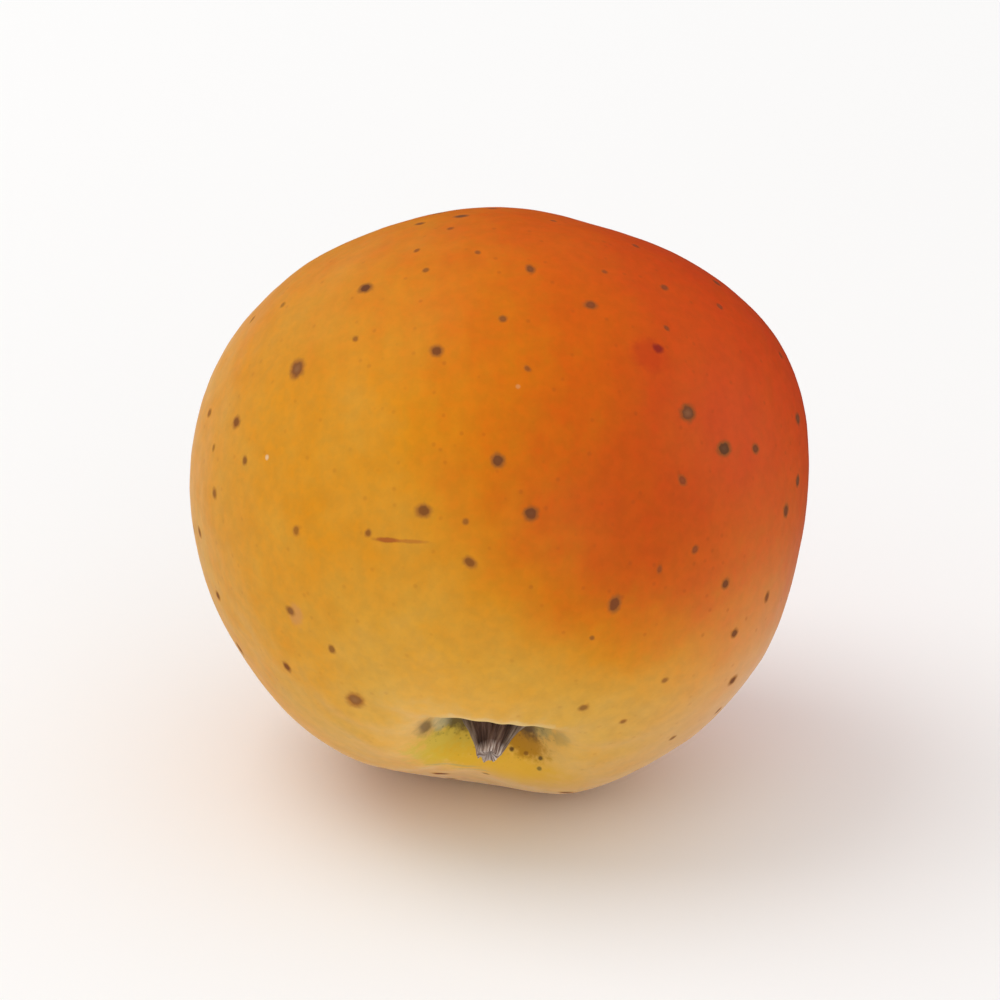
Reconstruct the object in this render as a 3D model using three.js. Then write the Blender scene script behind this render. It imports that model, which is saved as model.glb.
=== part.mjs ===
// A tejocote, the small yellow-orange fruit of a Mexican hawthorn, as picked: one fleshy fruit with a short
// broken stalk in the cavity at one end and five dried sepals round a tuft of dried styles at the other.
// It lies tipped over, with its stalk end forward and down, on the small patch of skin that it settles on.
//
// Lengths are millimetres and angles are degrees. The fruit's own axis runs from the stalk (-) to the sepals
// (+). An azimuth is measured round that axis from +X, and a latitude from the belly, positive towards the
// sepals.
// The part's origin is the point where the middle of the fruit rests: +Z is up, and the stalk end faces -Y.
import * as THREE from 'three';

// Overall size and how the fruit lies
const BELLY_RADIUS = 17.5;
const SEPAL_END_HEIGHT = 15.8;
const STALK_END_HEIGHT = 17.0;
const SHOULDER_FULLNESS = 0.015;
const LIE_ANGLE = 55;
const FOOT_DEPTH = 0.45;

// Five soft lobes round the sepal end
const LOBE_COUNT = 5;
const LOBE_AZIMUTH = -16;
const LOBE_HEIGHT = 0.12;

// Where the flesh has grown out or stayed behind: height is along the radius
const SWELLINGS = [
  { name: 'swelling beside the stalk', azimuth: 71, latitude: -56, spread: 20, height: 0.9 },
  { name: 'dip in the stalk cavity rim', azimuth: 96, latitude: -62, spread: 16, height: -1.5 },
  { name: 'flat lower flank', azimuth: 172, latitude: -34, spread: 30, height: -0.45 },
  { name: 'left shoulder', azimuth: 205, latitude: 25, spread: 30, height: 0.15 },
  { name: 'big right shoulder', azimuth: -18, latitude: 20, spread: 30, height: 1.45 },
  { name: 'right cheek', azimuth: 6, latitude: -38, spread: 25, height: 0.75 },
];

// Stalk cavity: a rounded D in plan, with a fleshy lip swollen over its straight side
const CAVITY_RADIUS = 3.6;
const CAVITY_DEPTH = 2.9;
const CAVITY_WALL_POWER = 5;
const CAVITY_ROUNDNESS = 2.5;
const LIP_AZIMUTH = -79;
const LIP_ADVANCE = 1.8;
const LIP_HEIGHT = 0.1;
const LIP_CREST = 1.45;
const LIP_WIDTH = 0.45;

// Basin that holds the sepals
const BASIN_RADIUS = 4.3;
const BASIN_DEPTH = 3.2;
const BASIN_WALL_POWER = 3;
const BASIN_LOBING = 0.15;

// Clearance between a loose piece and the skin it grows from
const GAP = 0.35;

// Stalk stub
const STUB_LENGTH = 2.95;
const STUB_BASE_RADIUS = 2.1;
const STUB_TIP_RADIUS = 0.66;
const STUB_FLARE_POWER = 1.25;
const STUB_LEAN = -9;
const STUB_X = 0.35;
const STUB_Y = 0.45;

// Sepals. Each one dried in its own way: its length, how far its root leans out, how far its tip has curled
// over, how far it twists and how far it has shifted round from its even place
const SEPALS = [
  { length: 5.2, lean: 4, curl: 250, twist: 12, shift: 3 },
  { length: 4.2, lean: -10, curl: 130, twist: -22, shift: -5 },
  { length: 5.0, lean: 10, curl: 205, twist: 10, shift: 4 },
  { length: 3.8, lean: -4, curl: 70, twist: 18, shift: -3 },
  { length: 4.8, lean: 12, curl: 165, twist: -14, shift: 5 },
];
const SEPAL_WIDTH = 2.5;
const SEPAL_THICKNESS = 0.5;
const SEPAL_CUP = 0.25;
const SEPAL_ROOT_RADIUS = 2.4;
const SEPAL_TAPER = 0.7;
const SEPAL_TAPER_POWER = 2.2;
const SEPAL_CURL_POWER = 3.2;

// Styles
const TUFT_RADIUS = 1.0;
const TUFT_HEIGHT = 2.8;

// Mesh fineness
const BODY_COLUMNS = 68;
const BODY_ROWS = 56;
const POLE_CROWDING = 0.7;

const radians = THREE.MathUtils.degToRad;

// Colours of each piece
const skin = new THREE.MeshStandardMaterial({ color: 0xdd8a2c, roughness: 0.42, metalness: 0 });
const stalkBark = new THREE.MeshStandardMaterial({ color: 0x7b6857, roughness: 0.9, metalness: 0 });
const driedSepal = new THREE.MeshStandardMaterial({ color: 0x6e4f3e, roughness: 0.9, metalness: 0 });
const driedStyle = new THREE.MeshStandardMaterial({ color: 0x3c2c24, roughness: 0.9, metalness: 0 });

// The unit vector at an azimuth and latitude.
function towards(azimuth, latitude) {
  return new THREE.Vector3().setFromSphericalCoords(1, radians(90 - latitude), radians(azimuth + 90))
    .applyAxisAngle(new THREE.Vector3(1, 0, 0), Math.PI / 2);
}

// How far the skin stands out from the plain spheroid in a direction: soft round swellings and hollows, and
// lobes that fade out at the sepals and at the belly.
function outgrowth(direction) {
  let height = 0;
  for (const swelling of SWELLINGS) {
    const centre = towards(swelling.azimuth, swelling.latitude);
    const squaredDistance = centre.distanceToSquared(direction);
    height += swelling.height * Math.exp(-squaredDistance / radians(swelling.spread) ** 2);
  }
  if (direction.z > 0) {
    const azimuth = Math.atan2(direction.y, direction.x) - radians(LOBE_AZIMUTH);
    const fade = (1 - direction.z ** 2) * direction.z ** 4;
    const mostFade = 4 / 27;
    height += (LOBE_HEIGHT * Math.cos(LOBE_COUNT * azimuth) * fade) / mostFade;
  }
  return height;
}

// How far the stalk cavity goes in at a point of the plan, less what its lip stands up.
function cavityDepth(x, y) {
  const lip = radians(LIP_AZIMUTH);
  const towardsLip = x * Math.cos(lip) + y * Math.sin(lip);
  const alongLip = y * Math.cos(lip) - x * Math.sin(lip);
  const pressed = towardsLip > 0 ? towardsLip * LIP_ADVANCE : towardsLip;
  const power = CAVITY_ROUNDNESS;
  const reach = (Math.abs(alongLip) ** power + Math.abs(pressed) ** power) ** (1 / power) / CAVITY_RADIUS;
  const depth = CAVITY_DEPTH / (1 + reach ** CAVITY_WALL_POWER);
  const facing = (1 + Math.cos(Math.atan2(alongLip, towardsLip))) / 2;
  const crest = LIP_HEIGHT * facing * Math.exp(-(((reach - LIP_CREST) / LIP_WIDTH) ** 2));
  return depth - crest;
}

// How far the basin of the sepals goes in at a point of the plan. The lobes press in on it.
function basinDepth(x, y) {
  const azimuth = Math.atan2(y, x) - radians(LOBE_AZIMUTH);
  const radius = BASIN_RADIUS * (1 - BASIN_LOBING * Math.cos(LOBE_COUNT * azimuth));
  return BASIN_DEPTH * Math.exp(-((Math.hypot(x, y) / radius) ** BASIN_WALL_POWER));
}

// The lowest that a sepal can go at a point of the plan: just clear of the basin and of the dome round it.
function sepalFloor(x, y) {
  const dome = SEPAL_END_HEIGHT * Math.sqrt(1 - (x ** 2 + y ** 2) / BELLY_RADIUS ** 2);
  return dome - basinDepth(x, y) + GAP;
}

// The point of the skin in a direction, in the fruit's own frame.
function skinPoint(direction) {
  const sine = Math.hypot(direction.x, direction.y);
  const fullness = 1 + SHOULDER_FULLNESS * (2 * sine * direction.z) ** 2;
  const height = direction.z > 0 ? SEPAL_END_HEIGHT : STALK_END_HEIGHT;
  const grown = outgrowth(direction);
  const x = direction.x * (BELLY_RADIUS * fullness + grown);
  const y = direction.y * (BELLY_RADIUS * fullness + grown);
  const z = direction.z * (height * fullness + grown);
  return new THREE.Vector3(x, y, direction.z > 0 ? z - basinDepth(x, y) : z + cavityDepth(x, y));
}

// The fruit's own frame turned to how it lies, lifted so that the foot's plane is at height 0.
function lyingMatrix(lowest) {
  const turn = new THREE.Matrix4().makeRotationX(radians(-LIE_ANGLE));
  return new THREE.Matrix4().makeTranslation(0, 0, -lowest - FOOT_DEPTH).multiply(turn);
}

// Moves each vertex of a geometry to the point that a function gives for it.
function reshape(geometry, place) {
  const position = geometry.getAttribute('position');
  const point = new THREE.Vector3();
  for (let i = 0; i < position.count; i += 1) {
    const moved = place(point.fromBufferAttribute(position, i));
    position.setXYZ(i, moved.x, moved.y, moved.z);
  }
  geometry.computeVertexNormals();
  return geometry;
}

// A sphere grid with its poles on the fruit's axis, its rows crowded towards them, laid on the skin.
function fruitGeometry() {
  const grid = new THREE.SphereGeometry(1, BODY_COLUMNS, BODY_ROWS).rotateX(Math.PI / 2);
  return reshape(grid, (point) => {
    const polar = Math.acos(THREE.MathUtils.clamp(point.z, -1, 1));
    const crowded = polar - (POLE_CROWDING * Math.sin(2 * polar)) / 2;
    const azimuth = Math.atan2(point.y, point.x);
    const latitude = 90 - THREE.MathUtils.radToDeg(crowded);
    return skinPoint(towards(THREE.MathUtils.radToDeg(azimuth), latitude));
  });
}

// The stub: a tapering round stick that flares where it grew from the fruit and ends in a broken, domed tip.
// It starts at the cavity floor and leans a little to one side.
function stubGeometry() {
  const profile = [new THREE.Vector2(0, 0)];
  const rings = 6;
  for (let i = 0; i <= rings; i += 1) {
    const along = i / rings;
    const flare = (1 - along) ** STUB_FLARE_POWER;
    const radius = STUB_TIP_RADIUS + (STUB_BASE_RADIUS - STUB_TIP_RADIUS) * flare;
    profile.push(new THREE.Vector2(radius, along * STUB_LENGTH * 0.95));
  }
  profile.push(new THREE.Vector2(0, STUB_LENGTH));
  const floor = cavityDepth(0, STUB_Y) - STALK_END_HEIGHT - GAP;
  const stick = new THREE.LatheGeometry(profile, 14).rotateX(-Math.PI / 2);
  const lean = Math.tan(radians(STUB_LEAN));
  return reshape(stick, (point) => {
    const x = point.x + STUB_X - lean * point.z;
    const y = point.y + STUB_Y;
    const onSkin = cavityDepth(x, y) - STALK_END_HEIGHT - GAP;
    return new THREE.Vector3(x, y, Math.min(floor + point.z, onSkin));
  });
}

// A sepal: a cupped, leaf-shaped plate that stands up from the basin floor and curls outwards. The lean of its
// spine grows as a power of the way along, so it is straightest at the root, and its section turns by the twist.
function sepalGeometry(sepal, index) {
  const azimuth = radians(LOBE_AZIMUTH + ((index + 0.5) * 360) / LOBE_COUNT + sepal.shift);
  const outward = new THREE.Vector3(Math.cos(azimuth), Math.sin(azimuth), 0);
  const sideways = new THREE.Vector3(-outward.y, outward.x, 0);
  const root = outward.clone().multiplyScalar(SEPAL_ROOT_RADIUS);
  const leanAt = (along) => radians(sepal.lean + sepal.curl * along ** SEPAL_CURL_POWER);
  const rows = 12;
  const spine = [new THREE.Vector2(SEPAL_ROOT_RADIUS, sepalFloor(root.x, root.y))];
  for (let row = 0; row < rows; row += 1) {
    const lean = leanAt((row + 0.5) / rows);
    const step = new THREE.Vector2(Math.sin(lean), Math.cos(lean)).multiplyScalar(sepal.length / rows);
    spine.push(step.add(spine[row]));
  }
  const plate = new THREE.BoxGeometry(1, 1, 1, 4, 1, rows).translate(0, 0, 0.5);
  return reshape(plate, (point) => {
    const lean = leanAt(point.z);
    const twist = radians(sepal.twist) * point.z;
    const width = SEPAL_WIDTH * (1 - SEPAL_TAPER * point.z ** SEPAL_TAPER_POWER) * point.x;
    const cup = SEPAL_CUP * (1 - point.z) * 4 * point.x ** 2;
    const thickness = SEPAL_THICKNESS * (1 - 0.4 * point.z) * point.y - cup;
    const across = width * Math.cos(twist) + thickness * Math.sin(twist);
    const away = thickness * Math.cos(twist) - width * Math.sin(twist);
    const onSpine = spine[Math.round(point.z * rows)];
    const place = outward.clone().multiplyScalar(onSpine.x + away * Math.cos(lean))
      .addScaledVector(sideways, -across);
    return place.setZ(Math.max(onSpine.y - away * Math.sin(lean), sepalFloor(place.x, place.y)));
  });
}

// The dried styles and stamens, as one short tuft that widens and then closes to a point.
function tuftGeometry() {
  const profile = [
    new THREE.Vector2(0, 0),
    new THREE.Vector2(TUFT_RADIUS * 0.8, 0),
    new THREE.Vector2(TUFT_RADIUS, TUFT_HEIGHT * 0.35),
    new THREE.Vector2(TUFT_RADIUS * 0.6, TUFT_HEIGHT * 0.75),
    new THREE.Vector2(0, TUFT_HEIGHT),
  ];
  const floor = skinPoint(new THREE.Vector3(0, 0, 1)).z + GAP;
  return new THREE.LatheGeometry(profile, 12).rotateX(Math.PI / 2).translate(0, 0, floor);
}

function named(name, geometry, material) {
  const mesh = new THREE.Mesh(geometry, material);
  mesh.name = name;
  return mesh;
}

// The skin turned to how it lies. What would go below the foot's plane is flat on it.
const fruitSkin = fruitGeometry();
const turned = fruitSkin.clone().applyMatrix4(new THREE.Matrix4().makeRotationX(radians(-LIE_ANGLE)));
turned.computeBoundingBox();
const lying = lyingMatrix(turned.boundingBox.min.z);
fruitSkin.applyMatrix4(lying);
reshape(fruitSkin, (point) => point.setZ(Math.max(point.z, 0)));

const tejocote = new THREE.Group();
tejocote.add(named('fruit_body', fruitSkin, skin));

// The loose pieces keep the fruit's own frame, in a group that lies as the fruit does.
const ends = new THREE.Group();
ends.applyMatrix4(lying);
ends.add(named('stalk_stub', stubGeometry(), stalkBark));
SEPALS.forEach((sepal, index) => {
  ends.add(named(`sepal_${index + 1}`, sepalGeometry(sepal, index), driedSepal));
});
ends.add(named('style_tuft', tuftGeometry(), driedStyle));
tejocote.add(ends);

export default tejocote;
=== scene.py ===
import bpy
import numpy as np
from mathutils import Matrix, Vector


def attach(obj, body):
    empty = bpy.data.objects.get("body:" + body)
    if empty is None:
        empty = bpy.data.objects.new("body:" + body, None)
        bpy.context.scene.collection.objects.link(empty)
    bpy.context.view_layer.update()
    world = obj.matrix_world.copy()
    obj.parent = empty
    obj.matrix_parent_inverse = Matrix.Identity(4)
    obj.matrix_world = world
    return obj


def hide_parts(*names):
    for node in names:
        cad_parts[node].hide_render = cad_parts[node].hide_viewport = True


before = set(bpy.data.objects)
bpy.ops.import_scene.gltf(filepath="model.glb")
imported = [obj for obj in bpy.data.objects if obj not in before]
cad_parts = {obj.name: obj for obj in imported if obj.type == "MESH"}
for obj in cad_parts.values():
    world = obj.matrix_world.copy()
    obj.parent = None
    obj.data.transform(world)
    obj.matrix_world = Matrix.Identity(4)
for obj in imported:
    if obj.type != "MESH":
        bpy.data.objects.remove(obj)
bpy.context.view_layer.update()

# ------------------------------------------------------------------------------------------------------------
# The fruit: a tejocote, the ripe pome of a Mexican hawthorn, skin and flesh grown in one piece. It swelled
# unevenly, so it has soft lobes, a flat flank, a big shoulder and a fleshy lip over the stalk cavity.
# ------------------------------------------------------------------------------------------------------------
# Lengths are millimetres in the fruit's own frame, whose Z runs from the stalk to the sepals. Angles are
# degrees: an azimuth is measured round Z from +X, and a latitude from the belly towards the sepals.
MM = 0.001
BELLY_RADIUS = 17.5
SEPAL_END_HEIGHT = 15.8
STALK_END_HEIGHT = 17.0
SHOULDER_FULLNESS = 0.015
LIE_ANGLE = 55
FOOT_DEPTH = 0.45

LOBE_COUNT = 5
LOBE_AZIMUTH = -16
LOBE_HEIGHT = 0.12

# Azimuth, latitude, spread and height of each place where the flesh grew out or stayed behind
SWELLINGS = (
    (71, -56, 20, 0.9),
    (96, -62, 16, -1.5),
    (172, -34, 30, -0.45),
    (205, 25, 30, 0.15),
    (-18, 20, 30, 1.45),
    (6, -38, 25, 0.75),
)

CAVITY_RADIUS = 3.6
CAVITY_DEPTH = 2.9
CAVITY_WALL_POWER = 5
CAVITY_ROUNDNESS = 2.5
LIP_AZIMUTH = -79
LIP_ADVANCE = 1.8
LIP_HEIGHT = 0.1
LIP_CREST = 1.45
LIP_WIDTH = 0.45

BASIN_RADIUS = 4.3
BASIN_DEPTH = 3.2
BASIN_WALL_POWER = 3
BASIN_LOBING = 0.15


def towards(azimuth, latitude):
    """Unit vectors at azimuths and latitudes: (cos latitude * (cos azimuth, sin azimuth), sin latitude)."""
    azimuth, latitude = np.broadcast_arrays(np.radians(azimuth), np.radians(latitude))
    plan = np.cos(latitude)
    return np.stack([plan * np.cos(azimuth), plan * np.sin(azimuth), np.sin(latitude)], -1)


def about(direction, azimuth, latitude, spread):
    """1 at a place on the fruit and falling to nothing round it: exp(-(distance / spread)^2)."""
    squared = ((direction - towards(azimuth, latitude)) ** 2).sum(-1)
    return np.exp(-squared / np.radians(spread) ** 2)


def outgrowth(direction):
    """How far the skin stands out along the radius: the swellings, each height * about, and the lobes,
    cos(5 * azimuth) * (1 - z^2) * z^4, which fade towards the sepals and the belly."""
    height = np.zeros(direction.shape[:-1])
    for azimuth, latitude, spread, swelling in SWELLINGS:
        height += swelling * about(direction, azimuth, latitude, spread)
    azimuth = np.arctan2(direction[..., 1], direction[..., 0]) - np.radians(LOBE_AZIMUTH)
    upper = np.maximum(direction[..., 2], 0)
    fade = (1 - upper**2) * upper**4 / (4 / 27)
    return height + LOBE_HEIGHT * np.cos(LOBE_COUNT * azimuth) * fade


def cavity_place(x, y):
    """Where points of the plan lie about the stalk, in units of the cavity's radius: how far along the lip
    and how far towards it. The half towards the lip is pressed in, so its numbers grow faster."""
    lip = np.radians(LIP_AZIMUTH)
    along_lip = y * np.cos(lip) - x * np.sin(lip)
    towards_lip = x * np.cos(lip) + y * np.sin(lip)
    pressed = np.where(towards_lip > 0, towards_lip * LIP_ADVANCE, towards_lip)
    return np.stack([along_lip, pressed], -1) / CAVITY_RADIUS


def in_cavity(along_lip, towards_lip):
    """The plan of the direction in which cavity_place has these two values, which it turns back."""
    lip = np.radians(LIP_AZIMUTH)
    released = towards_lip / LIP_ADVANCE if towards_lip > 0 else towards_lip
    along_axis, lip_axis = np.array([-np.sin(lip), np.cos(lip)]), np.array([np.cos(lip), np.sin(lip)])
    return (along_axis * along_lip + lip_axis * released) * CAVITY_RADIUS / BELLY_RADIUS


def cavity_depth(x, y):
    """How far the skin is pushed in round the stalk: depth / (1 + reach^5), where reach is the superellipse
    (along^2.5 + towards^2.5)^(1 / 2.5). A crest, exp(-((reach - 1.45) / 0.45)^2), stands up on the lip."""
    reach = (np.abs(cavity_place(x, y)) ** CAVITY_ROUNDNESS).sum(-1) ** (1 / CAVITY_ROUNDNESS)
    facing = (1 + np.cos(np.arctan2(y, x) - np.radians(LIP_AZIMUTH))) / 2
    crest = LIP_HEIGHT * facing * np.exp(-(((reach - LIP_CREST) / LIP_WIDTH) ** 2))
    return CAVITY_DEPTH / (1 + reach**CAVITY_WALL_POWER) - crest


def basin_reach(x, y):
    """Distance from the middle of the sepals in units of the basin's radius, which the lobes press in."""
    azimuth = np.arctan2(y, x) - np.radians(LOBE_AZIMUTH)
    return np.hypot(x, y) / (BASIN_RADIUS * (1 - BASIN_LOBING * np.cos(LOBE_COUNT * azimuth)))


def basin_depth(x, y):
    """How far the skin is pushed in round the sepals: depth * exp(-reach^3)."""
    return BASIN_DEPTH * np.exp(-(basin_reach(x, y) ** BASIN_WALL_POWER))


def skin(direction):
    """The skin in each direction: a spheroid with full shoulders and outgrowths, pushed in at both ends."""
    z = direction[..., 2]
    fullness = 1 + SHOULDER_FULLNESS * 4 * (1 - z**2) * z**2
    grown = outgrowth(direction)
    x, y = np.moveaxis(direction[..., :2] * (BELLY_RADIUS * fullness + grown)[..., None], -1, 0)
    low = z * (STALK_END_HEIGHT * fullness + grown) + cavity_depth(x, y)
    high = z * (SEPAL_END_HEIGHT * fullness + grown) - basin_depth(x, y)
    return np.stack([x, y, np.where(z > 0, high, low)], -1)


def ripples(points, wavelength, seed, waves=28):
    """A smooth random height of about -1 to 1: a mean of sine waves of about one length, turned at random."""
    chance = np.random.default_rng(seed)
    direction = chance.normal(size=(waves, 3))
    direction /= np.linalg.norm(direction, axis=1)[:, None]
    turns = direction * 2 * np.pi / (wavelength * chance.uniform(0.7, 1.5, (waves, 1)))
    phase = chance.uniform(0, 2 * np.pi, waves)
    return np.sin(points @ turns.T + phase).sum(-1) * np.sqrt(2 / waves) / 2


def near(value, middle, width):
    """1 at the middle and falling to nothing round it: exp(-((value - middle) / width)^2)."""
    return np.exp(-(((value - middle) / width) ** 2))


def smooth(value, low, high):
    """0 below low, 1 above high and a smooth S between them."""
    share = np.clip((value - low) / (high - low), 0, 1)
    return share * share * (3 - 2 * share)


def in_order(grid):
    """The values of an array of bodies, rows and columns in closed_mesh's order: an end row is one vertex."""
    bodies = grid.shape[0]
    inner = grid[:, 1:-1].reshape(bodies, -1, *grid.shape[3:])
    ordered = np.concatenate([grid[:, 0, :1], inner, grid[:, -1, :1]], 1)
    return ordered.reshape(-1, *grid.shape[3:])


def closed_mesh(name, grid):
    """A mesh of closed bodies from an array of bodies, rows and columns of points in mm, already lying. Rows
    are rings joined by quads, the end rows are points joined by fans, and columns run clockwise about the
    way from the first row to the last, which turns the faces outwards."""
    bodies, rows, columns = grid.shape[:3]
    ring = 1 + np.arange((rows - 2) * columns).reshape(rows - 2, columns)
    beside = np.roll(ring, -1, 1)
    last = np.full(columns, (rows - 2) * columns + 1)
    top = np.stack([0 * last, ring[0], beside[0]], -1)
    bottom = np.stack([last, beside[-1], ring[-1]], -1)
    quads = np.stack([ring[:-1], ring[1:], beside[1:], beside[:-1]], -1).reshape(-1, 4)
    start = (np.arange(bodies) * (last[0] + 1))[:, None, None]
    faces = (quads + start).reshape(-1, 4).tolist()
    faces += (np.concatenate([top, bottom]) + start).reshape(-1, 3).tolist()
    mesh = bpy.data.meshes.new(name)
    mesh.from_pydata((in_order(grid) * MM).tolist(), [], faces)
    mesh.shade_smooth()
    piece = bpy.data.objects.new(name, mesh)
    bpy.context.scene.collection.objects.link(piece)
    return piece


def store(mesh, name, values, domain="POINT"):
    """Keeps one number, or one vector of three, for each vertex, face or face corner of a mesh."""
    vector = values.ndim == 2
    made = mesh.attributes.new(name, "FLOAT_VECTOR" if vector else "FLOAT", domain)
    made.data.foreach_set("vector" if vector else "value", values.astype(np.float32).ravel())


# The skin has soft dents, creases that fan out from the stalk, and puckers where it draws in to the sepals.
# Where creases and puckers lie is in units of the radius of the cavity or the basin, and at the other end of
# the fruit the skin is simply out of reach.
BODY_ROWS = 236
BODY_COLUMNS = 380
POLE_CROWDING = 0.75
DENTS = 0.05
DENT_LENGTH = 6.0
FINE_DENTS = 0.012
FINE_DENT_LENGTH = 1.6
CREASE_COUNT = 13
CREASES = 0.05
CREASES_AT = 1.9
CREASES_REACH = 0.8
PUCKER_COUNT = 19
PUCKERS = 0.1
PUCKERS_AT = 0.75
PUCKERS_REACH = 0.3
WANDER = 2.2
WANDER_LENGTH = 7.0
OUT_OF_REACH = 9.0

polar = np.linspace(0, np.pi, BODY_ROWS)
latitudes = 90 - np.degrees(polar - POLE_CROWDING * np.sin(2 * polar) / 2)
azimuths = np.linspace(0, 360, BODY_COLUMNS, endpoint=False)
directions = towards(azimuths[None, :], latitudes[:, None])
own = skin(directions)
up = directions[..., 2]
place_by_stalk = cavity_place(own[..., 0], own[..., 1])
stalk_reach = np.where(up < 0, np.linalg.norm(place_by_stalk, axis=-1), OUT_OF_REACH)
sepal_reach = np.where(up > 0, basin_reach(own[..., 0], own[..., 1]), OUT_OF_REACH)
wander = WANDER * ripples(own, WANDER_LENGTH, 5)
relief = DENTS * ripples(own, DENT_LENGTH, 3) + FINE_DENTS * ripples(own, FINE_DENT_LENGTH, 4)
relief += CREASES * np.cos(np.radians(CREASE_COUNT * azimuths) + wander) * near(
    stalk_reach, CREASES_AT, CREASES_REACH)
relief += PUCKERS * np.cos(np.radians(PUCKER_COUNT * azimuths) + wander) * near(
    sepal_reach, PUCKERS_AT, PUCKERS_REACH)
own += directions * relief[..., None]


def tipped(points):
    """Turns points from the fruit's own frame to how the fruit lies, by the lie angle about X."""
    angle = np.radians(LIE_ANGLE)
    x, y, z = np.moveaxis(points, -1, 0)
    return np.stack([x, y * np.cos(angle) + z * np.sin(angle), z * np.cos(angle) - y * np.sin(angle)], -1)


LIFT = -tipped(own)[..., 2].min() - FOOT_DEPTH


def lie(points):
    """Places points of the fruit's own frame where they lie, with the plane of its foot at height 0."""
    return tipped(points) + np.array([0, 0, LIFT])


lying = lie(own)
lying[..., 2] = np.maximum(lying[..., 2], 0)
fruit = closed_mesh("fruit", lying[None])

# How far the skin has turned from pale yellow (0) through orange to scarlet (1): azimuth, latitude, spread
# and strength of the side that faced the sun, of the blush that runs from it down the near cheek, of the
# paler cheek beside that, of the end that hung in the leaves' shade, and of the skin about the sepals.
PALE_SKIN = 0.2
WARM_PLACES = (
    (-15, 35, 70, 0.85),
    (-60, -35, 30, 0.25),
    (15, -40, 30, -0.25),
    (-70, -90, 30, -0.3),
    (60, 90, 35, -0.2),
)


def warmth_towards(direction):
    """How warm the skin is in each direction: pale + the sum of strength * about for the warm places."""
    warmth = np.full(direction.shape[:-1], PALE_SKIN)
    for azimuth, latitude, spread, strength in WARM_PLACES:
        warmth += strength * about(direction, azimuth, latitude, spread)
    return warmth


store(fruit.data, "warmth", in_order(warmth_towards(directions)[None]))

# The blush is darker over one cheek, and painted light makes the skin paler low down where the fruit lies, as
# if lit from the floor: azimuth, latitude, spread and how far the tone is changed. A painted sheen, which has
# a colour and a share as well, makes the skin paler low down beside the blush and a little pinker above.
DARKER_CHEEK_AND_PAINTED_UNDERLIGHT = ((-55, -34, 29, -0.14), (105, -68, 42, 0.13))
PAINTED_SHEENS = (
    (14, -36, 24, "#D8A488", 0.42),
    (-41, -8, 17, "#DC6468", 0.08),
)

darker_cheek_and_painted_underlight = sum(change * about(directions, *spot) for *spot, change in DARKER_CHEEK_AND_PAINTED_UNDERLIGHT)
store(fruit.data, "darker_cheek_and_painted_underlight", in_order(darker_cheek_and_painted_underlight[None]))
for number, painted_sheen in enumerate(PAINTED_SHEENS):
    store(fruit.data, f"bloom_{number}", in_order(about(directions, *painted_sheen[:3])[None]))
store(fruit.data, "own_place", in_order(own[None]))
store(fruit.data, "from_sepals", in_order(sepal_reach[None]))
stalk_side = np.where(up < 0, 0, OUT_OF_REACH)[..., None]
store(fruit.data, "by_stalk", in_order(np.concatenate([place_by_stalk, stalk_side], -1)[None]))

# Corky dots (lenticels), the pores that the skin breathed through. They are spread over the skin by chance,
# but none comes nearer to another than their spacing. Most are about half a millimetre wide. The redder the
# skin, the greyer the dot, within a spread. Small dots are faint, and those of about 1 mm have split open.
DOT_COUNT = 150
DOT_SPACING = 2.3
DOTLESS_ENDS = 0.95
COMMON_DOT = 0.55
DOT_VARIETY = 0.32
SMALLEST_DOT = 0.28
LARGEST_DOT = 1.1
MOST_STRETCH = 0.28
GREYNESS_SPREAD = 0.2
SPLIT_FROM = 0.98
SPLIT_TO = 1.08
FAINTEST_DOT = 0.55
FAINT_DOT = 0.72
LARGE_DOT_GAIN = 0.28

chance = np.random.default_rng(11)
dots = []
while len(dots) < DOT_COUNT:
    candidate = chance.normal(size=3)
    candidate /= np.linalg.norm(candidate)
    room = min((np.linalg.norm(candidate - dot) for dot in dots), default=np.inf)
    if room > DOT_SPACING / BELLY_RADIUS and abs(candidate[2]) < DOTLESS_ENDS:
        dots.append(candidate)
dots = np.array(dots)
diameters = np.clip(COMMON_DOT * chance.lognormal(0, DOT_VARIETY, DOT_COUNT), SMALLEST_DOT, LARGEST_DOT)
stretch = chance.uniform(0.0, MOST_STRETCH, len(dots))
stretch_turn = chance.uniform(0, np.pi, len(dots))
warmth_there = warmth_towards(dots)
greyness = np.clip(chance.uniform(-GREYNESS_SPREAD, GREYNESS_SPREAD, len(dots)) + warmth_there, 0, 1)
heart = smooth(diameters, SPLIT_FROM, SPLIT_TO)
plainness = chance.uniform(FAINTEST_DOT, FAINT_DOT, len(dots)) + LARGE_DOT_GAIN * smooth(diameters, 0.35, 0.8)

# Each face belongs to the dot that is nearest to it in units of the dot's diameter. Its corners keep how far
# they are from the middle of that dot in units of its radius, so its edge is drawn finer than the mesh.
mesh = fruit.data
corner_vertex = np.zeros(len(mesh.loops), np.int32)
mesh.loops.foreach_get("vertex_index", corner_vertex)
corner_count = np.zeros(len(mesh.polygons), np.int32)
mesh.polygons.foreach_get("loop_total", corner_count)
face_of_corner = np.repeat(np.arange(len(corner_count)), corner_count)
first_corner = np.concatenate([[0], np.cumsum(corner_count)[:-1]])
face_direction = np.add.reduceat(in_order(directions[None])[corner_vertex], first_corner)
face_direction /= np.linalg.norm(face_direction, axis=1)[:, None]
nearest = ((1 - face_direction @ dots.T) / diameters**2).argmin(1)
dot_of_corner = nearest[face_of_corner]
east = np.stack([-dots[:, 1], dots[:, 0], 0 * dots[:, 0]], -1)
east /= np.linalg.norm(east, axis=1)[:, None]
north = np.cross(dots, east)
long_way = (east * np.cos(stretch_turn)[:, None] + north * np.sin(stretch_turn)[:, None])[dot_of_corner]
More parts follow.
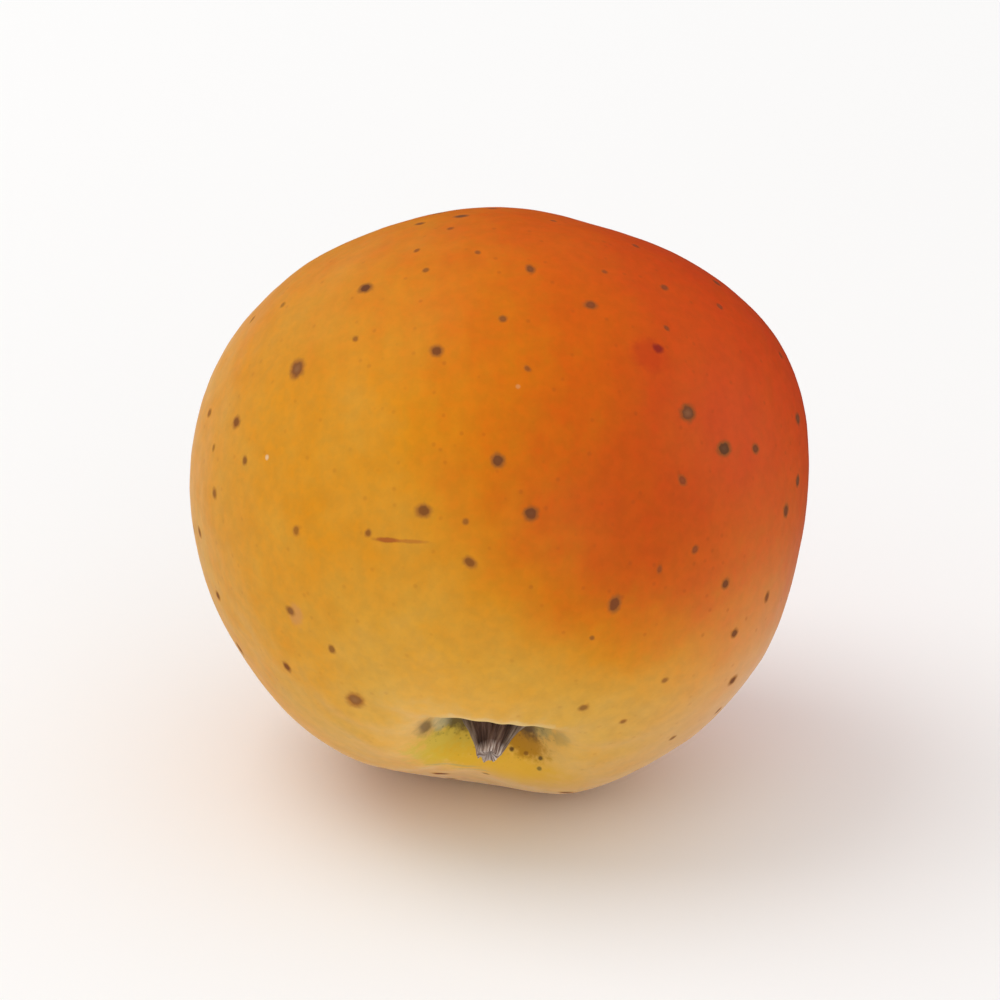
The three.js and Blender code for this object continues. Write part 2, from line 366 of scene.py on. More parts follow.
offset = in_order(own[None])[corner_vertex] - skin(dots)[dot_of_corner]
offset -= long_way * ((offset * long_way).sum(-1) * stretch[dot_of_corner])[:, None]
offset /= (diameters[dot_of_corner] / 2)[:, None]
store(mesh, "dot_offset", offset, "CORNER")
store(mesh, "dot_greyness", greyness[nearest], "FACE")
store(mesh, "dot_heart", heart[nearest], "FACE")
store(mesh, "dot_plainness", plainness[nearest], "FACE")


def linear(hex_colour):
    """An sRGB hex colour as linear RGBA: a channel c is ((c + 0.055) / 1.055)^2.4, or c / 12.92 if dark."""
    srgb = np.array([int(hex_colour[i:i + 2], 16) for i in (1, 3, 5)]) / 255
    return (*np.where(srgb > 0.04045, ((srgb + 0.055) / 1.055) ** 2.4, srgb / 12.92), 1.0)


def new_material(name):
    """An empty node material."""
    made = bpy.data.materials.new(name)
    made.use_nodes = True
    made.node_tree.nodes.clear()
    return made


def add(owner, kind, inputs=(), out=0, stops=(), **settings):
    """Adds a node to a material or a world with its settings, fills or links its inputs, by name or number,
    sets a ramp's colour stops, and returns the output that is asked for."""
    made = owner.node_tree.nodes.new("ShaderNode" + kind)
    for setting, value in settings.items():
        setattr(made, setting, value)
    for socket, value in dict(inputs).items():
        if isinstance(value, bpy.types.NodeSocket):
            owner.node_tree.links.new(value, made.inputs[socket])
        else:
            made.inputs[socket].default_value = value
    for number, (position, hex_colour) in enumerate(stops):
        ramp = made.color_ramp.elements
        stop = ramp[number] if number < len(ramp) else ramp.new(position)
        stop.position = position
        stop.color = linear(hex_colour)
    return made.outputs[out] if made.outputs else None


def per(millimetres):
    """The scale at which a texture's features are about this many millimetres apart on Object coordinates."""
    return 1 / (millimetres * MM)


# Ripe skin under its own thin wax: a satin surface with soft, wide highlights. Its colour runs from straw
# yellow to scarlet in clouds, with faint streaks from the stalk to the sepals, about 1.7 mm apart and 14 mm
# long, a fine mottle, and an olive cast in places where it is palest.
STREAK_SCALE = (0.6, 0.6, 0.07)
wax = new_material("waxy_tejocote_skin")
place = add(wax, "TexCoord", out="Object")
own_place = add(wax, "Attribute", out="Vector", attribute_name="own_place")
warm = add(wax, "Attribute", out="Fac", attribute_name="warmth")
clouds = add(wax, "TexNoise", {"Vector": place, "Scale": per(8), "Detail": 3.0, "Roughness": 0.5})
drawn_out = add(wax, "Mapping", {"Vector": own_place, "Scale": STREAK_SCALE})
streaks = add(wax, "TexNoise", {"Vector": drawn_out, "Scale": 1.0, "Detail": 3.0, "Roughness": 0.55})
mottle = add(wax, "TexNoise", {"Vector": place, "Scale": per(1.8), "Detail": 3.0, "Roughness": 0.6})
grain = add(wax, "TexNoise", {"Vector": place, "Scale": per(0.7), "Detail": 3.0, "Roughness": 0.6})
ripeness = warm
for pattern, weight in ((clouds, 0.2), (streaks, 0.13), (mottle, 0.11), (grain, 0.1)):
    deviation = add(wax, "Math", {0: pattern, 1: 0.5}, operation="SUBTRACT")
    ripeness = add(wax, "Math", {0: deviation, 1: weight, 2: ripeness}, operation="MULTIPLY_ADD")
pigment = add(wax, "ValToRGB", {"Fac": ripeness}, stops=(
    (0.0, "#DEB466"), (0.12, "#D5A042"), (0.25, "#D3952A"), (0.38, "#D4870E"), (0.50, "#D27404"),
    (0.64, "#D05D02"), (0.80, "#CE4C02"), (1.0, "#CC3E02")))
olive_clouds = add(wax, "TexNoise", {"Vector": place, "Scale": per(11), "Detail": 2.0})
olive_pale = add(wax, "MapRange", {"Value": warm, "From Min": 0.5, "From Max": 0.2, "To Max": 0.4})
olive_there = add(wax, "MapRange", {"Value": olive_clouds, "From Min": 0.46, "From Max": 0.62})
olive_share = add(wax, "Math", {0: olive_pale, 1: olive_there}, operation="MULTIPLY")
pale = add(wax, "Mix", {"Factor": olive_share, 6: pigment, 7: linear("#C6A046")}, out=2, data_type="RGBA")
tone = add(wax, "MapRange", {
    "Value": grain, "From Min": 0.35, "From Max": 0.65, "To Min": 0.94, "To Max": 1.05})
# The tone is darker over one cheek and lighter low down, where painted light stands for light from the floor.
darker_cheek_and_painted_underlight_here = add(wax, "Attribute", out="Fac", attribute_name="darker_cheek_and_painted_underlight")
changed_tone = add(wax, "Math", {0: tone, 1: darker_cheek_and_painted_underlight_here}, operation="ADD")
toned = add(wax, "HueSaturation", {"Color": pale, "Value": changed_tone})
# Painted sheen: the skin is paler low down beside the blush and pinker above, as if it mirrored its white
# surroundings.
with_painted_sheen = toned
for number, (azimuth, latitude, spread, colour, share) in enumerate(PAINTED_SHEENS):
    painted_sheen_here = add(wax, "Attribute", out="Fac", attribute_name=f"bloom_{number}")
    painted_sheen_share = add(wax, "Math", {0: painted_sheen_here, 1: share}, operation="MULTIPLY")
    with_painted_sheen = add(wax, "Mix", {"Factor": painted_sheen_share, 6: with_painted_sheen, 7: linear(colour)}, out=2, data_type="RGBA")

# Pinpricks of deeper red, where the blush breaks up, are drawn from cells about 1.1 mm apart. They are
# fainter on the palest skin.
pricks = add(wax, "TexVoronoi", {"Vector": place, "Scale": per(1.1), "Randomness": 1.0})
prick_strength = add(wax, "MapRange", {
    "Value": warm, "From Min": 0.2, "From Max": 0.5, "To Min": 0.12, "To Max": 0.3})
prick_share = add(wax, "MapRange", {
    "Value": pricks, "From Min": 0.16, "From Max": 0.06, "To Max": prick_strength})
skin_colour = add(wax, "Mix", {
    "Factor": prick_share, 6: with_painted_sheen, 7: linear("#9A4212")}, out=2, data_type="RGBA")

ragged = add(wax, "TexNoise", {"Vector": place, "Scale": per(0.7), "Detail": 4.0, "Roughness": 0.65})


def stain_or_painted_light(under, vector, middle, turn, half_sizes, colour, share, raggedness):
    """Mixes a colour over the skin inside an ellipsoid. Its share is whole within half of the way from the
    middle to the edge and falls as a smooth S to none past it, and a ragged noise breaks the edge up."""
    inside = add(wax, "Mapping", {
        "Vector": vector, "Location": middle, "Rotation": turn, "Scale": half_sizes}, vector_type="TEXTURE")
    reach = add(wax, "VectorMath", {0: inside}, out="Value", operation="LENGTH")
    broken = add(wax, "Math", {0: ragged, 1: 0.5}, operation="SUBTRACT")
    edge = add(wax, "Math", {0: broken, 1: raggedness, 2: reach}, operation="MULTIPLY_ADD")
    cover = add(wax, "MapRange", {
        "Value": edge, "From Min": 1.3, "From Max": 0.5, "To Max": share}, interpolation_type="SMOOTHSTEP")
    return add(wax, "Mix", {"Factor": cover, 6: under, 7: linear(colour)}, out=2, data_type="RGBA")


# The cavity's skin: middle and half sizes of each stain, and of the painted highlight and painted shade by
# the lip, in units of the cavity's radius along the lip and towards it, with its colour and share. Juice and
# damp gather in the cavity's two corners.
CAVITY_STAINS_AND_PAINTED_LIGHT = (
    ((0.0, 1.42), (0.85, 0.3), "#E8D49C", 0.4),  # pale edge of the lip: thinner skin, and a painted highlight
    ((-0.45, -0.85), (0.75, 0.6), "#CFB838", 0.75),  # skin that is still green
    ((0.35, -1.2), (1.05, 0.55), "#E0AC28", 0.75),
    ((0.6, -0.62), (0.42, 0.3), "#AC760E", 0.85),  # amber where juice dried
    ((-0.35, -1.36), (0.4, 0.035), "#A29A70", 0.4),  # cracks round the cavity's far side
    ((-0.02, -1.5), (0.35, 0.03), "#A89E72", 0.35),
    ((-0.38, -0.35), (0.42, 0.34), "#5E4E2C", 0.9),  # bark stain and painted shade under the lip
    ((0.5, -0.2), (0.4, 0.34), "#58432E", 0.9),
)
# Blots there: the same two numbers for the middle, the half size in mm, colour and share. A blot has soaked
# in slantwise, so it is three times as deep as it is wide.
STAIN_AND_PAINTED_LIGHT_RAGGEDNESS = 1.6
BLOT_RAGGEDNESS = 1.0
BLOT_SLANT = -60
BLOT_DEPTH = 3
CAVITY_BLOTS = (
    ((-0.78, -0.32), 0.62, "#CFC79E", 0.6),  # mould in the corners
    ((0.86, -0.1), 0.55, "#A89A62", 0.65),
    ((1.1, 0.1), 0.5, "#8E8048", 0.4),
    ((-1.03, -0.2), 0.68, "#A07E44", 0.6),  # rot in one, darkened with painted shade for the hole it has made
    ((-1.02, -0.2), 0.4, "#70542E", 0.75),
    ((0.5, -0.86), 0.16, "#54381C", 0.9),  # specks of rot
    ((0.72, -0.8), 0.14, "#7A4E1A", 0.75),
    ((0.93, -0.72), 0.14, "#4E3A1E", 0.85),
    ((0.96, -0.95), 0.15, "#6E5A26", 0.8),
)
by_stalk = add(wax, "Attribute", out="Vector", attribute_name="by_stalk")
level = (0, 0, 0)
slant = (np.radians(BLOT_SLANT), 0, 0)
for middle, half_sizes, colour, share in CAVITY_STAINS_AND_PAINTED_LIGHT:
    sizes = (*half_sizes, 1)
    skin_colour = stain_or_painted_light(skin_colour, by_stalk, (*middle, 0), level, sizes, colour, share, STAIN_AND_PAINTED_LIGHT_RAGGEDNESS)
for (along_lip, towards_lip), half_size, colour, share in CAVITY_BLOTS:
    plan = in_cavity(along_lip, towards_lip)
    middle = skin(np.array([*plan, -np.sqrt(1 - plan @ plan)]))
    sizes = (half_size, half_size, BLOT_DEPTH * half_size)
    skin_colour = stain_or_painted_light(skin_colour, own_place, middle, slant, sizes, colour, share, BLOT_RAGGEDNESS)
from_stalk = add(wax, "VectorMath", {0: by_stalk}, out="Value", operation="LENGTH")
flecks = add(wax, "TexVoronoi", {"Vector": place, "Scale": per(0.4), "Randomness": 1.0})
fleck_size = add(wax, "MapRange", {"Value": from_stalk, "From Min": 1.5, "From Max": 0.9, "To Max": 0.24})
fleck_edge = add(wax, "Math", {0: fleck_size, 1: flecks}, operation="SUBTRACT")
fleck_share = add(wax, "MapRange", {"Value": fleck_edge, "From Min": 0.0, "From Max": 0.15, "To Max": 0.42})
skin_colour = add(wax, "Mix", {
    "Factor": fleck_share, 6: skin_colour, 7: linear("#6A4A1E")}, out=2, data_type="RGBA")

# Marks of its life on the tree: azimuth, latitude, half length and half width of each in mm, with its colour
# and share. The length lies level.
MARK_DEPTH = 1.5
MARK_RAGGEDNESS = 0.9
MARKS = (
    (-114, -37, 0.85, 0.15, "#A2501F", 0.85),  # a scratch from a thorn, which fades at one end
    (-109, -38, 1.1, 0.12, "#AE6226", 0.6),
    (-60, 1, 1.2, 1.1, "#BC3410", 0.5),  # a bruise round a puncture
    (-58, 3, 0.36, 0.34, "#86201C", 0.85),
    (-149, -43, 0.55, 0.8, "#C98A58", 0.5),  # a scald
    (-138, -14, 0.15, 0.16, "#E6D0B0", 0.55),  # flecks of dry wax
    (-85, -10, 0.15, 0.15, "#D9AE80", 0.3),
    (40, 20, 1.0, 0.13, "#9A4A1E", 0.7),  # and the same kinds on the far sides
    (130, -10, 1.2, 0.9, "#B5742E", 0.6),
    (160, 25, 0.5, 0.4, "#7E4420", 0.75),
)
for azimuth, latitude, half_length, half_width, colour, share in MARKS:
    outward = Vector(tipped(towards(azimuth, latitude)))
    sideways = (Vector((1, 0, 0)) - outward * outward.x).normalized()
    turn = Matrix((sideways, outward.cross(sideways).normalized(), outward)).transposed().to_euler()
    middle = Vector(lie(skin(towards(azimuth, latitude)))) * MM
    sizes = Vector((half_length, half_width, MARK_DEPTH)) * MM
    skin_colour = stain_or_painted_light(skin_colour, place, middle, turn, sizes, colour, share, MARK_RAGGEDNESS)

# Round the sepals the skin is yellower and speckled grey-green, then rough brown russet, and painted shade
# darkens it nearly to black in the middle of the basin.
from_sepals = add(wax, "Attribute", out="Fac", attribute_name="from_sepals")
sepal_edge = add(wax, "Math", {0: ragged, 1: 0.7, 2: from_sepals}, operation="MULTIPLY_ADD")
halo_share = add(wax, "MapRange", {"Value": sepal_edge, "From Min": 2.6, "From Max": 1.3, "To Max": 0.7})
haloed = add(wax, "Mix", {
    "Factor": halo_share, 6: skin_colour, 7: linear("#B88C2A")}, out=2, data_type="RGBA")
specks = add(wax, "TexVoronoi", {"Vector": place, "Scale": per(0.5), "Randomness": 1.0})
speck_size = add(wax, "MapRange", {"Value": sepal_edge, "From Min": 2.7, "From Max": 1.2, "To Max": 0.36})
speck_edge = add(wax, "Math", {0: speck_size, 1: specks}, operation="SUBTRACT")
speck_share = add(wax, "MapRange", {"Value": speck_edge, "From Min": 0.0, "From Max": 0.16, "To Max": 0.75})
speck_colour = add(wax, "ValToRGB", {"Fac": clouds}, stops=((0.45, "#7C7044"), (0.55, "#84522A")))
speckled = add(wax, "Mix", {"Factor": speck_share, 6: haloed, 7: speck_colour}, out=2, data_type="RGBA")
russet_share = add(wax, "MapRange", {"Value": sepal_edge, "From Min": 1.3, "From Max": 0.8, "To Max": 0.9})
# Russet, darkening nearly to black in the basin's middle, where it is painted shade in the recess.
russet_and_painted_shade = add(wax, "ValToRGB", {"Fac": sepal_edge}, stops=(
    (0.5, "#2E2015"), (0.85, "#664C28"), (1.2, "#947A3A")))
with_russet_and_painted_shade = add(wax, "Mix", {"Factor": russet_share, 6: speckled, 7: russet_and_painted_shade}, out=2, data_type="RGBA")

# Corky dots, soft at the edge: red-brown on yellow skin, grey-brown on red skin, and paler in the heart of
# the largest, where the cork has split.
offset_here = add(wax, "Attribute", out="Vector", attribute_name="dot_offset")
grey_here = add(wax, "Attribute", out="Fac", attribute_name="dot_greyness")
heart_here = add(wax, "Attribute", out="Fac", attribute_name="dot_heart")
plain_here = add(wax, "Attribute", out="Fac", attribute_name="dot_plainness")
distance = add(wax, "VectorMath", {0: offset_here}, out="Value", operation="LENGTH")
frayed = add(wax, "TexNoise", {"Vector": place, "Scale": per(0.35), "Detail": 2.0})
edge = add(wax, "Math", {0: frayed, 1: 0.5, 2: distance}, operation="MULTIPLY_ADD")
red_dot = add(wax, "ValToRGB", {"Fac": edge}, stops=((0.3, "#6A3018"), (0.8, "#763A1C"), (1.4, "#9E5E2A")))
grey_dot = add(wax, "ValToRGB", {"Fac": edge}, stops=((0.3, "#644A34"), (0.9, "#523824"), (1.4, "#744824")))
dot_colour = add(wax, "Mix", {"Factor": grey_here, 6: red_dot, 7: grey_dot}, out=2, data_type="RGBA")
heart_cover = add(wax, "MapRange", {"Value": edge, "From Min": 1.0, "From Max": 0.35, "To Max": 0.6})
heart_share = add(wax, "Math", {0: heart_cover, 1: heart_here}, operation="MULTIPLY")
hearted = add(wax, "Mix", {
    "Factor": heart_share, 6: dot_colour, 7: linear("#8E6648")}, out=2, data_type="RGBA")
dot_cover = add(wax, "MapRange", {
    "Value": edge, "From Min": 1.65, "From Max": 0.8}, interpolation_type="SMOOTHSTEP")
dot_share = add(wax, "Math", {0: dot_cover, 1: plain_here}, operation="MULTIPLY")
spotted = add(wax, "Mix", {"Factor": dot_share, 6: with_russet_and_painted_shade, 7: hearted}, out=2, data_type="RGBA")

rough_parts = add(wax, "Math", {0: dot_share, 1: russet_share}, operation="MAXIMUM")
shine = add(wax, "MapRange", {"Value": mottle, "To Min": 0.38, "To Max": 0.54})
roughness = add(wax, "Math", {0: rough_parts, 1: 0.35, 2: shine}, operation="MULTIPLY_ADD")
peel = add(wax, "Bump", {"Height": grain, "Strength": 0.3, "Distance": 0.03 * MM})
scurf = add(wax, "Bump", {"Height": ragged, "Strength": russet_share, "Distance": 0.25 * MM, "Normal": peel})
raised = add(wax, "Bump", {"Height": dot_share, "Strength": 0.5, "Distance": 0.04 * MM, "Normal": scurf})
surface = add(wax, "BsdfPrincipled", {
    "Base Color": spotted, "Roughness": roughness, "Normal": raised, "IOR": 1.45, "Specular IOR Level": 0.12,
    "Subsurface Weight": 0.08, "Subsurface Scale": 0.5 * MM})
add(wax, "OutputMaterial", {"Surface": surface})
fruit.data.materials.append(wax)
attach(fruit, "root")
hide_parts("fruit_body")

# ------------------------------------------------------------------------------------------------------------
# The stalk stub: what is left of the woody stalk that the fruit hung by. It grew out of the cavity's floor,
# thickest at its root, and broke across when the fruit was picked, so its end is a stump of torn fibres.
# ------------------------------------------------------------------------------------------------------------
STUB_LENGTH = 2.95
STUB_BASE_RADIUS = 2.1
STUB_TIP_RADIUS = 0.66
STUB_FLARE_POWER = 1.25
STUB_LEAN = -9
STUB_X = 0.35
STUB_Y = 0.45
STUB_SINK = 0.25
FIBRE_RADIUS = 2.0
FIBRE_LENGTH = 0.35
COARSE_RIDGES = 0.6
COARSE_RIDGE_WIDTH = 0.8
FINE_RIDGES = 0.4
FINE_RIDGE_WIDTH = 0.35
RIDGE_SHARE = 0.13
TORN_SHARE = 0.06
TORN_WIDTH = 0.4
SIDE_ROWS = 46
END_ROWS = 14
STUB_COLUMNS = 96

along = np.concatenate([np.linspace(0, 1, SIDE_ROWS), np.ones(END_ROWS)])[:, None]
inward = np.concatenate([np.ones(SIDE_ROWS), np.linspace(1, 0, END_ROWS + 1)[1:]])[:, None]
inward[0] = 0
round_stub = np.radians(np.linspace(0, 360, STUB_COLUMNS, endpoint=False))[None, :]
lengthwise = FIBRE_LENGTH * along
fibre = np.stack(np.broadcast_arrays(np.cos(round_stub), np.sin(round_stub), lengthwise), -1) * FIBRE_RADIUS
ridges = COARSE_RIDGES * ripples(fibre, COARSE_RIDGE_WIDTH, 21)
ridges = ridges + FINE_RIDGES * ripples(fibre, FINE_RIDGE_WIDTH, 22)
flank = np.broadcast_to(np.abs(np.cos(round_stub)), ridges.shape)
radius = STUB_TIP_RADIUS + (STUB_BASE_RADIUS - STUB_TIP_RADIUS) * (1 - along) ** STUB_FLARE_POWER
radius = radius * (1 + RIDGE_SHARE * ridges) * inward
x_in_end, y_in_end = radius * np.cos(round_stub), radius * np.sin(round_stub)
torn = ripples(np.stack([x_in_end, y_in_end, 0 * x_in_end], -1), TORN_WIDTH, 23)
broken_off = TORN_SHARE * torn * smooth(along, 0.8, 1.0)
out = STUB_LENGTH * (along + broken_off - TORN_SHARE * smooth(1 - inward, 0, 1))
stub_x = STUB_X + x_in_end + np.tan(np.radians(STUB_LEAN)) * out
stub_y = STUB_Y + y_in_end
root = cavity_depth(0.0, STUB_Y) - STALK_END_HEIGHT + STUB_SINK
stub_z = np.minimum(root - out, cavity_depth(stub_x, stub_y) - STALK_END_HEIGHT + STUB_SINK)
stub = closed_mesh("stalk_stub_bark", lie(np.stack([stub_x, stub_y, stub_z], -1))[None])
store(stub.data, "fibre", in_order(fibre[None]))
store(stub.data, "along", in_order(np.broadcast_to(along, ridges.shape)[None]))
store(stub.data, "ridge", in_order(ridges[None]))
store(stub.data, "flank", in_order(flank[None]))

# Dead bark and torn wood, dry and matt: dark brown fibres about 0.1 to 0.25 mm apart, grey down the two
# flanks that face sideways, which is weathering and a painted rim light, and bare pale wood at the break.
wood = new_material("dry_stalk_bark")
fibre_here = add(wood, "Attribute", out="Vector", attribute_name="fibre")
along_here = add(wood, "Attribute", out="Fac", attribute_name="along")
ridge_here = add(wood, "Attribute", out="Fac", attribute_name="ridge")
strands = add(wood, "TexNoise", {"Vector": fibre_here, "Scale": 4.0, "Detail": 4.0, "Roughness": 0.65})
height = add(wood, "Math", {0: ridge_here, 1: 0.35, 2: strands}, operation="MULTIPLY_ADD")
bark = add(wood, "ValToRGB", {"Fac": height}, stops=(
    (0.25, "#2A1B15"), (0.5, "#4A352B"), (0.7, "#685247"), (0.9, "#84725F")))
# Grey down the sideways flanks: weathering and a painted rim light.
weathered_and_painted_rim_light = add(wood, "ValToRGB", {"Fac": height}, stops=(
    (0.3, "#54453A"), (0.5, "#7E6F62"), (0.75, "#A39686")))
flank_here = add(wood, "Attribute", out="Fac", attribute_name="flank")
flank_share = add(wood, "MapRange", {"Value": flank_here, "From Min": 0.8, "From Max": 0.98, "To Max": 0.62})
sided = add(wood, "Mix", {"Factor": flank_share, 6: bark, 7: weathered_and_painted_rim_light}, out=2, data_type="RGBA")
bare = add(wood, "ValToRGB", {"Fac": strands}, stops=((0.38, "#5A4038"), (0.5, "#B09C90"), (0.6, "#DCD0C8")))
bare_share = add(wood, "MapRange", {"Value": along_here, "From Min": 0.8, "From Max": 0.96, "To Max": 0.85})
stub_colour = add(wood, "Mix", {"Factor": bare_share, 6: sided, 7: bare}, out=2, data_type="RGBA")
grooves = add(wood, "Bump", {"Height": strands, "Strength": 0.8, "Distance": 0.12 * MM})
dryness = add(wood, "MapRange", {"Value": strands, "To Min": 0.95, "To Max": 0.75})
surface = add(wood, "BsdfPrincipled", {
    "Base Color": stub_colour, "Normal": grooves, "Roughness": dryness, "Specular IOR Level": 0.25})
add(wood, "OutputMaterial", {"Surface": surface})
stub.data.materials.append(wood)
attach(stub, "root")
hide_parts("stalk_stub")

# ------------------------------------------------------------------------------------------------------------
# The sepals: five small green leaves that held the flower and stayed on the fruit. They have dried to brown
# straps that stand in the basin and curl outwards, each its own way, with wrinkles along them.
# ------------------------------------------------------------------------------------------------------------
# Each one's length, how far its root leans out, how far its tip has curled over, how far it twists and how
# far it has shifted round from its even place
SEPALS = (
    (5.2, 4, 250, 12, 3),
    (4.2, -10, 130, -22, -5),
    (5.0, 10, 205, 10, 4),
    (3.8, -4, 70, 18, -3),
    (4.8, 12, 165, -14, 5),
)
SEPAL_WIDTH = 2.5
SEPAL_THICKNESS = 0.5
SEPAL_CUP = 0.25
SEPAL_ROOT_RADIUS = 2.4
SEPAL_TAPER = 0.7
SEPAL_TAPER_POWER = 2.2
SEPAL_CURL_POWER = 3.2
SEPAL_SINK = 0.3
SEPAL_EDGE_POWER = 0.8
SEPAL_FACE_POWER = 0.7
SEPAL_END_POWER = 24
SEPAL_WAVINESS = 0.08
SEPAL_TIP_THINNING = 0.4
SEPAL_EDGE_THINNING = 0.55
SEPAL_WAVE_LENGTH = 0.9
SEPAL_VEINS = 0.07
VEIN_SPACING = 0.55
VEIN_DIRECTION = (1, 0.22, 1)
SEPAL_CRUMPLE = 0.16
CRUMPLE_LENGTH = 1.5
SEPALS_APART = 9
SEPAL_ROWS = 72
SEPAL_COLUMNS = 56


def sepal_grid(number, length, first, curl, twist, shift):
    """The surface of one sepal, as rows from its root to its tip and columns round its section. The spine's
    lean from the fruit's axis is first + curl * along^3.2, and its steps are summed. The section is a flat
    superellipse with cupped edges, which tapers as 1 - 0.7 * along^2.2 and turns with the twist."""
    along = np.linspace(0, 1, SEPAL_ROWS)
    lean = np.radians(first + curl * along**SEPAL_CURL_POWER)
    step = length / (SEPAL_ROWS - 1)
    out = SEPAL_ROOT_RADIUS + np.cumsum(np.sin(lean)) * step
    azimuth = np.radians(LOBE_AZIMUTH + (number + 0.5) * 360 / LOBE_COUNT + shift)
    outward = np.array([np.cos(azimuth), np.sin(azimuth), 0])
    sideways = np.array([-np.sin(azimuth), np.cos(azimuth), 0])
    floor = SEPAL_END_HEIGHT - basin_depth(*(outward[:2] * SEPAL_ROOT_RADIUS)) - SEPAL_SINK
    spine = outward * out[:, None] + np.array([0, 0, 1]) * (floor + np.cumsum(np.cos(lean)) * step)[:, None]
    normal = outward * np.cos(lean)[:, None] - np.array([0, 0, 1]) * np.sin(lean)[:, None]

    round_it = np.radians(np.linspace(0, 360, SEPAL_COLUMNS, endpoint=False))[None, :]
    across = np.sign(np.cos(round_it)) * np.abs(np.cos(round_it)) ** SEPAL_EDGE_POWER
    through = np.sign(np.sin(round_it)) * np.abs(np.sin(round_it)) ** SEPAL_FACE_POWER
    own_part = 0.0 * across + SEPALS_APART * number
    place = np.stack(np.broadcast_arrays(SEPAL_WIDTH * across, length * along[:, None], own_part), -1)
    veins = ripples(place * VEIN_DIRECTION, VEIN_SPACING, 31) * SEPAL_VEINS
    crumple = ripples(place, CRUMPLE_LENGTH, 32) * SEPAL_CRUMPLE
    ends = (1 - np.clip(2 * np.abs(along - 0.5), 0, 1) ** SEPAL_END_POWER)[:, None] ** 0.5
    width = SEPAL_WIDTH / 2 * (1 - SEPAL_TAPER * along**SEPAL_TAPER_POWER)[:, None]
    width = width * (1 + SEPAL_WAVINESS * ripples(place * (0, 1, 1), SEPAL_WAVE_LENGTH, 33)) * ends
    thickness = SEPAL_THICKNESS / 2 * (1 - SEPAL_TIP_THINNING * along[:, None])
    thickness = thickness * (1 - SEPAL_EDGE_THINNING * np.abs(across) ** 3) * ends
    cup = SEPAL_CUP * (1 - along[:, None]) * across**2
    away = thickness * through + veins * np.sign(through) + crumple * smooth(along[:, None], 0.1, 0.5) - cup
    side = width * across
    turned = np.radians(twist) * along[:, None]
    side, away = side * np.cos(turned) + away * np.sin(turned), away * np.cos(turned) - side * np.sin(turned)
    points = spine[:, None] + sideways * side[..., None] + normal[:, None] * away[..., None]
    points[[0, -1]] = points[[0, -1]].mean(1, keepdims=True)
    return points, place, veins / SEPAL_VEINS, np.broadcast_to(along[:, None], side.shape)


# Dried leaf: papery and matt, brown with a red cast, darker at the tip, paler on the veins and darker in the
# folds between them, which is painted shade. Its grain is about 0.15 mm across and 1.1 mm long.
LEAF_GRAIN_SCALE = (4.5, 0.6, 1.0)
leaf = new_material("dried_sepal_leaf")
leaf_place = add(leaf, "Attribute", out="Vector", attribute_name="leaf_place")
along_here = add(leaf, "Attribute", out="Fac", attribute_name="along")
vein_here = add(leaf, "Attribute", out="Fac", attribute_name="vein")
long_grain = add(leaf, "Mapping", {"Vector": leaf_place, "Scale": LEAF_GRAIN_SCALE})
leaf_grain = add(leaf, "TexNoise", {"Vector": long_grain, "Scale": 1.5, "Detail": 5.0, "Roughness": 0.65})
patches = add(leaf, "TexNoise", {"Vector": leaf_place, "Scale": 0.8, "Detail": 2.0})
# Paler on the raised veins and darker in the folds between them, where it is painted shade.
shade = add(leaf, "Math", {0: vein_here, 1: 0.16, 2: leaf_grain}, operation="MULTIPLY_ADD")
brown = add(leaf, "ValToRGB", {"Fac": shade}, stops=(
    (0.25, "#381E14"), (0.45, "#74452F"), (0.6, "#986450"), (0.8, "#B48C6C")))
grey = add(leaf, "ValToRGB", {"Fac": shade}, stops=((0.25, "#4C3B2C"), (0.5, "#8A6E50"), (0.8, "#B49C78")))
patch_share = add(leaf, "MapRange", {"Value": patches, "From Min": 0.42, "From Max": 0.6})
mottled = add(leaf, "Mix", {"Factor": patch_share, 6: brown, 7: grey}, out=2, data_type="RGBA")
tip_share = add(leaf, "MapRange", {"Value": along_here, "From Min": 0.7, "From Max": 1.0, "To Max": 0.7})
tipped_leaf = add(leaf, "Mix", {
    "Factor": tip_share, 6: mottled, 7: linear("#2C1C17")}, out=2, data_type="RGBA")
wrinkles = add(leaf, "Bump", {"Height": leaf_grain, "Strength": 0.7, "Distance": 0.12 * MM})
paperiness = add(leaf, "MapRange", {"Value": leaf_grain, "To Min": 0.9, "To Max": 0.65})
surface = add(leaf, "BsdfPrincipled", {
    "Base Color": tipped_leaf, "Normal": wrinkles, "Roughness": paperiness, "Specular IOR Level": 0.3})
add(leaf, "OutputMaterial", {"Surface": surface})

for number, bend in enumerate(SEPALS):
    points, on_leaf, veins, along_leaf = sepal_grid(number, *bend)
    sepal = closed_mesh(f"sepal_leaf_{number + 1}", lie(points)[None])
    store(sepal.data, "leaf_place", in_order(on_leaf[None]))
    store(sepal.data, "vein", in_order(veins[None]))
    store(sepal.data, "along", in_order(along_leaf[None]))
    sepal.data.materials.append(leaf)
    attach(sepal, "root")
    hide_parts(f"sepal_{number + 1}")

